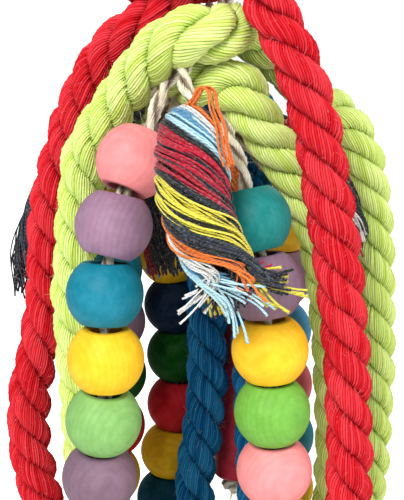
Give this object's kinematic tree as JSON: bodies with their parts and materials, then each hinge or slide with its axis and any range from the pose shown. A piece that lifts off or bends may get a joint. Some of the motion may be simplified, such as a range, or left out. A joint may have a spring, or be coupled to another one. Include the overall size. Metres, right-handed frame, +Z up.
{
  "type": "hanging bird swing",
  "caption": "Hanging bird swing: soft twisted rope loops gathered at a neck, strings of turned wooden beads and yarn tassels between them, hung from a ring and a quick link.",
  "frame": {"origin": "where the cage bar bears on the inside top of the quick link, in the middle of the link", "axes": "+Z up, +X to the right as seen from the front, +Y to the back"},
  "size_m": [0.152, 0.1438, 0.365],
  "materials": {
    "plated_steel": "satin",
    "plated_steel_nut": "satin",
    "red_cotton": "matte",
    "lime_cotton": "matte",
    "blue_cotton": "matte",
    "sisal": "matte",
    "orange_yarn": "matte",
    "black_yarn": "matte",
    "crimson_yarn": "matte",
    "navy_yarn": "matte",
    "wood_crimson_smooth": "satin",
    "wood_aqua": "satin",
    "wood_blue": "satin",
    "wood_crimson": "satin",
    "wood_deep_teal": "satin",
    "wood_forest": "satin",
    "wood_gold": "satin",
    "wood_green": "satin",
    "wood_light_green": "satin",
    "wood_mauve": "satin",
    "wood_navy": "satin",
    "wood_pink": "satin",
    "wood_purple": "satin",
    "wood_rose": "satin",
    "wood_sky_blue": "satin",
    "wood_teal": "satin",
    "wood_yellow": "satin"
  },
  "bodies": {
    "quick_link": {"quick_link": "plated_steel"},
    "link_nut": {"link_nut": "plated_steel_nut"},
    "hanging_ring": {"hanging_ring": "plated_steel"},
    "rope_cage": {"red_rope": "red_cotton", "green_rope_front": "lime_cotton", "green_rope_back": "lime_cotton", "blue_rope": "blue_cotton", "neck_core": "sisal", "rear_tie": "sisal", "sisal_leads": "sisal"},
    "string_front_left": {"cord_front_left": "sisal"},
    "string_front_right": {"cord_front_right": "sisal"},
    "string_back_left": {"cord_back_left": "sisal"},
    "string_mid_right": {"cord_mid_right": "sisal"},
    "string_mid_left": {"cord_mid_left": "sisal"},
    "dowel_string": {"cord_dowel": "sisal"},
    "tassel_front": {"tassel_front": "orange_yarn"},
    "tassel_left": {"tassel_left": "black_yarn"},
    "tassel_right": {"tassel_right": "crimson_yarn"},
    "tassel_inner_left": {"tassel_inner_left": "navy_yarn"},
    "tassel_inner_right": {"tassel_inner_right": "orange_yarn"},
    "chew_dowel": {"chew_dowel": "wood_crimson_smooth"},
    "bead_front_left_1": {"bead_front_left_1": "wood_pink"},
    "bead_front_left_2": {"bead_front_left_2": "wood_purple"},
    "bead_front_left_3": {"bead_front_left_3": "wood_blue"},
    "bead_front_left_4": {"bead_front_left_4": "wood_yellow"},
    "bead_front_left_5": {"bead_front_left_5": "wood_light_green"},
    "bead_front_left_6": {"bead_front_left_6": "wood_mauve"},
    "bead_front_left_7": {"bead_front_left_7": "wood_teal"},
    "bead_front_right_1": {"bead_front_right_1": "wood_aqua"},
    "bead_front_right_2": {"bead_front_right_2": "wood_mauve"},
    "bead_front_right_3": {"bead_front_right_3": "wood_yellow"},
    "bead_front_right_4": {"bead_front_right_4": "wood_green"},
    "bead_front_right_5": {"bead_front_right_5": "wood_pink"},
    "bead_front_right_6": {"bead_front_right_6": "wood_yellow"},
    "bead_front_right_7": {"bead_front_right_7": "wood_teal"},
    "bead_mid_left_1": {"bead_mid_left_1": "wood_gold"},
    "bead_mid_left_2": {"bead_mid_left_2": "wood_teal"},
    "bead_mid_left_3": {"bead_mid_left_3": "wood_mauve"},
    "bead_mid_left_4": {"bead_mid_left_4": "wood_forest"},
    "bead_mid_left_5": {"bead_mid_left_5": "wood_crimson"},
    "bead_mid_left_6": {"bead_mid_left_6": "wood_gold"},
    "bead_mid_left_7": {"bead_mid_left_7": "wood_teal"},
    "bead_back_left_1": {"bead_back_left_1": "wood_crimson"},
    "bead_back_left_2": {"bead_back_left_2": "wood_gold"},
    "bead_back_left_3": {"bead_back_left_3": "wood_navy"},
    "bead_back_left_4": {"bead_back_left_4": "wood_forest"},
    "bead_back_left_5": {"bead_back_left_5": "wood_crimson"},
    "bead_back_left_6": {"bead_back_left_6": "wood_gold"},
    "bead_back_left_7": {"bead_back_left_7": "wood_deep_teal"},
    "bead_mid_right_1": {"bead_mid_right_1": "wood_yellow"},
    "bead_mid_right_2": {"bead_mid_right_2": "wood_purple"},
    "bead_mid_right_3": {"bead_mid_right_3": "wood_sky_blue"},
    "bead_mid_right_4": {"bead_mid_right_4": "wood_rose"},
    "bead_mid_right_5": {"bead_mid_right_5": "wood_blue"},
    "bead_mid_right_6": {"bead_mid_right_6": "wood_gold"},
    "bead_mid_right_7": {"bead_mid_right_7": "wood_green"}
  },
  "joints": [
    {"name": "a_ring_swing", "type": "hinge", "parent": "quick_link", "child": "hanging_ring", "pos_m": [0, 0, -0.0415], "axis": [1, 0, 0], "range_deg": [-45, 45]},
    {"name": "b_cage_swing", "type": "hinge", "parent": "hanging_ring", "child": "rope_cage", "pos_m": [0, 0, -0.0711], "axis": [0, 1, 0], "range_deg": [-40, 40]},
    {"name": "c_link_nut_slide", "type": "slide", "parent": "quick_link", "child": "link_nut", "axis": [0, 0, -1], "range_m": [0, 0.0095]},
    {"name": "d_front_left_string_swing", "type": "hinge", "parent": "rope_cage", "child": "string_front_left", "pos_m": [-0.02, -0.03, -0.146], "axis": [1, 0, 0], "range_deg": [-20, 1]},
    {"name": "e_front_right_string_swing", "type": "hinge", "parent": "rope_cage", "child": "string_front_right", "pos_m": [0.012, -0.038, -0.163], "axis": [1, 0, 0], "range_deg": [-7, 2]},
    {"name": "f_back_left_string_swing", "type": "hinge", "parent": "rope_cage", "child": "string_back_left", "pos_m": [-0.016, 0.052, -0.173], "axis": [1, 0, 0], "range_deg": [0, 24]},
    {"name": "g_mid_right_string_swing", "type": "hinge", "parent": "rope_cage", "child": "string_mid_right", "pos_m": [0.027, 0.01, -0.172], "axis": [0.243, -0.97, 0], "range_deg": [-5, 9]},
    {"name": "h_mid_left_string_swing", "type": "hinge", "parent": "rope_cage", "child": "string_mid_left", "pos_m": [-0.036, 0.023, -0.172], "axis": [-0.3009, -0.9537, 0], "range_deg": [-2, 5]},
    {"name": "i_dowel_swing", "type": "hinge", "parent": "rope_cage", "child": "dowel_string", "pos_m": [0.012, 0.054, -0.196], "axis": [1, 0, 0], "range_deg": [-2, 24]},
    {"name": "j_front_tassel_lift", "type": "hinge", "parent": "rope_cage", "child": "tassel_front", "pos_m": [-0.005, -0.043, -0.135], "axis": [1, 0, 0], "range_deg": [-60, 4]},
    {"name": "k_left_tassel_lift", "type": "hinge", "parent": "rope_cage", "child": "tassel_left", "pos_m": [-0.021, 0.017, -0.136], "axis": [0.3, 0.9539, 0], "range_deg": [-5, 45]},
    {"name": "l_right_tassel_lift", "type": "hinge", "parent": "rope_cage", "child": "tassel_right", "pos_m": [0.013, 0.006, -0.141], "axis": [0.1, -0.995, 0], "range_deg": [-2, 45]},
    {"name": "m_inner_left_tassel_swing", "type": "hinge", "parent": "rope_cage", "child": "tassel_inner_left", "pos_m": [-0.012, -0.008, -0.141], "axis": [1, 0, 0], "range_deg": [-16, 18]},
    {"name": "n_inner_right_tassel_swing", "type": "hinge", "parent": "rope_cage", "child": "tassel_inner_right", "pos_m": [0.004, -0.01, -0.144], "axis": [1, 0, 0], "range_deg": [-10, 12]},
    {"name": "spin_chew_dowel", "type": "hinge", "parent": "dowel_string", "child": "chew_dowel", "pos_m": [0.012, 0.054, -0.256], "axis": [0, 0, 1], "continuous": true},
    {"name": "spin_bead_front_left_1", "type": "hinge", "parent": "string_front_left", "child": "bead_front_left_1", "pos_m": [-0.02362, -0.03361, -0.154], "axis": [0.3542, 0.3542, 0.8655], "continuous": true},
    {"name": "spin_bead_front_left_2", "type": "hinge", "parent": "string_front_left", "child": "bead_front_left_2", "pos_m": [-0.03018, -0.04018, -0.17381], "axis": [0.2246, 0.2181, 0.9497], "continuous": true},
    {"name": "spin_bead_front_left_3", "type": "hinge", "parent": "string_front_left", "child": "bead_front_left_3", "pos_m": [-0.03313, -0.04329, -0.19537], "axis": [0.0418, 0.1171, 0.9922], "continuous": true},
    {"name": "spin_bead_front_left_4", "type": "hinge", "parent": "string_front_left", "child": "bead_front_left_4", "pos_m": [-0.03307, -0.04503, -0.21661], "axis": [0.0216, 0.003, 0.9998], "continuous": true},
    {"name": "spin_bead_front_left_5", "type": "hinge", "parent": "string_front_left", "child": "bead_front_left_5", "pos_m": [-0.03425, -0.04378, -0.23785], "axis": [0.0917, -0.0846, 0.9922], "continuous": true},
    {"name": "spin_bead_front_left_6", "type": "hinge", "parent": "string_front_left", "child": "bead_front_left_6", "pos_m": [-0.03611, -0.04152, -0.25869], "axis": [0.0305, -0.1311, 0.9909], "continuous": true},
    {"name": "spin_bead_front_left_7", "type": "hinge", "parent": "string_front_left", "child": "bead_front_left_7", "pos_m": [-0.03597, -0.03852, -0.27929], "axis": [-0.0101, -0.1456, 0.9893], "continuous": true},
    {"name": "spin_bead_front_right_1", "type": "hinge", "parent": "string_front_right", "child": "bead_front_right_1", "pos_m": [0.01401, -0.04001, -0.17206], "axis": [-0.2051, 0.1827, 0.9615], "continuous": true},
    {"name": "spin_bead_front_right_2", "type": "hinge", "parent": "string_front_right", "child": "bead_front_right_2", "pos_m": [0.01796, -0.04297, -0.19275], "axis": [-0.1438, 0.0956, 0.985], "continuous": true},
    {"name": "spin_bead_front_right_3", "type": "hinge", "parent": "string_front_right", "child": "bead_front_right_3", "pos_m": [0.01999, -0.044, -0.21393], "axis": [-0.0643, 0.0207, 0.9977], "continuous": true},
    {"name": "spin_bead_front_right_4", "type": "hinge", "parent": "string_front_right", "child": "bead_front_right_4", "pos_m": [0.02094, -0.04403, -0.23475], "axis": [-0.0429, -0.0207, 0.9989], "continuous": true},
    {"name": "spin_bead_front_right_5", "type": "hinge", "parent": "string_front_right", "child": "bead_front_right_5", "pos_m": [0.02193, -0.0431, -0.25561], "axis": [-0.059, -0.0752, 0.9954], "continuous": true},
    {"name": "spin_bead_front_right_6", "type": "hinge", "parent": "string_front_right", "child": "bead_front_right_6", "pos_m": [0.02301, -0.04103, -0.27667], "axis": [0.0415, -0.0783, 0.9961], "continuous": true},
    {"name": "spin_bead_front_right_7", "type": "hinge", "parent": "string_front_right", "child": "bead_front_right_7", "pos_m": [0.02002, -0.04001, -0.29786], "axis": [0.1613, -0.0414, 0.986], "continuous": true},
    {"name": "spin_bead_mid_left_1", "type": "hinge", "parent": "string_mid_left", "child": "bead_mid_left_1", "pos_m": [-0.03643, 0.02295, -0.18149], "axis": [0.0426, 0.0036, 0.9991], "continuous": true},
    {"name": "spin_bead_mid_left_2", "type": "hinge", "parent": "string_mid_left", "child": "bead_mid_left_2", "pos_m": [-0.03697, 0.02306, -0.20245], "axis": [-0.0144, -0.0279, 0.9995], "continuous": true},
    {"name": "spin_bead_mid_left_3", "type": "hinge", "parent": "string_mid_left", "child": "bead_mid_left_3", "pos_m": [-0.03606, 0.02395, -0.22304], "axis": [-0.0324, -0.0276, 0.9991], "continuous": true},
    {"name": "spin_bead_mid_left_4", "type": "hinge", "parent": "string_mid_left", "child": "bead_mid_left_4", "pos_m": [-0.0359, 0.02403, -0.24394], "axis": [0.0111, 0.0036, 0.9999], "continuous": true},
    {"name": "spin_bead_mid_left_5", "type": "hinge", "parent": "string_mid_left", "child": "bead_mid_left_5", "pos_m": [-0.03664, 0.024, -0.26483], "axis": [0.0669, 0, 0.9978], "continuous": true},
    {"name": "spin_bead_mid_left_6", "type": "hinge", "parent": "string_mid_left", "child": "bead_mid_left_6", "pos_m": [-0.03871, 0.024, -0.28525], "axis": [0.0703, 0, 0.9975], "continuous": true},
    {"name": "spin_bead_mid_left_7", "type": "hinge", "parent": "string_mid_left", "child": "bead_mid_left_7", "pos_m": [-0.03823, 0.024, -0.30673], "axis": [-0.0651, 0, 0.9979], "continuous": true},
    {"name": "spin_bead_back_left_1", "type": "hinge", "parent": "string_back_left", "child": "bead_back_left_1", "pos_m": [-0.01571, 0.052, -0.18249], "axis": [-0.0329, 0, 0.9995], "continuous": true},
    {"name": "spin_bead_back_left_2", "type": "hinge", "parent": "string_back_left", "child": "bead_back_left_2", "pos_m": [-0.01477, 0.052, -0.20327], "axis": [-0.0734, 0, 0.9973], "continuous": true},
    {"name": "spin_bead_back_left_3", "type": "hinge", "parent": "string_back_left", "child": "bead_back_left_3", "pos_m": [-0.01295, 0.052, -0.22371], "axis": [-0.0705, 0, 0.9975], "continuous": true},
    {"name": "spin_bead_back_left_4", "type": "hinge", "parent": "string_back_left", "child": "bead_back_left_4", "pos_m": [-0.01201, 0.052, -0.24449], "axis": [-0.0301, 0, 0.9995], "continuous": true},
    {"name": "spin_bead_back_left_5", "type": "hinge", "parent": "string_back_left", "child": "bead_back_left_5", "pos_m": [-0.01207, 0.052, -0.26576], "axis": [0.0805, 0, 0.9968], "continuous": true},
    {"name": "spin_bead_back_left_6", "type": "hinge", "parent": "string_back_left", "child": "bead_back_left_6", "pos_m": [-0.01492, 0.052, -0.28637], "axis": [0.1205, 0, 0.9927], "continuous": true},
    {"name": "spin_bead_back_left_7", "type": "hinge", "parent": "string_back_left", "child": "bead_back_left_7", "pos_m": [-0.01676, 0.052, -0.30708], "axis": [0.0813, 0, 0.9967], "continuous": true},
    {"name": "spin_bead_mid_right_1", "type": "hinge", "parent": "string_mid_right", "child": "bead_mid_right_1", "pos_m": [0.02662, 0.01038, -0.18149], "axis": [0.0389, -0.0389, 0.9985], "continuous": true},
    {"name": "spin_bead_mid_right_2", "type": "hinge", "parent": "string_mid_right", "child": "bead_mid_right_2", "pos_m": [0.02596, 0.01103, -0.20221], "axis": [0.0169, -0.014, 0.9998], "continuous": true},
    {"name": "spin_bead_mid_right_3", "type": "hinge", "parent": "string_mid_right", "child": "bead_mid_right_3", "pos_m": [0.02596, 0.011, -0.223], "axis": [-0.0183, 0.0047, 0.9998], "continuous": true},
    {"name": "spin_bead_mid_right_4", "type": "hinge", "parent": "string_mid_right", "child": "bead_mid_right_4", "pos_m": [0.02671, 0.01093, -0.24371], "axis": [-0.0458, -0.0083, 0.9989], "continuous": true},
    {"name": "spin_bead_mid_right_5", "type": "hinge", "parent": "string_mid_right", "child": "bead_mid_right_5", "pos_m": [0.02779, 0.01176, -0.26444], "axis": [-0.042, -0.0441, 0.9981], "continuous": true},
    {"name": "spin_bead_mid_right_6", "type": "hinge", "parent": "string_mid_right", "child": "bead_mid_right_6", "pos_m": [0.02802, 0.01195, -0.28537], "axis": [0.0035, -0.0077, 1], "continuous": true},
    {"name": "spin_bead_mid_right_7", "type": "hinge", "parent": "string_mid_right", "child": "bead_mid_right_7", "pos_m": [0.028, 0.01278, -0.3062], "axis": [0, -0.0548, 0.9985], "continuous": true}
  ]
}
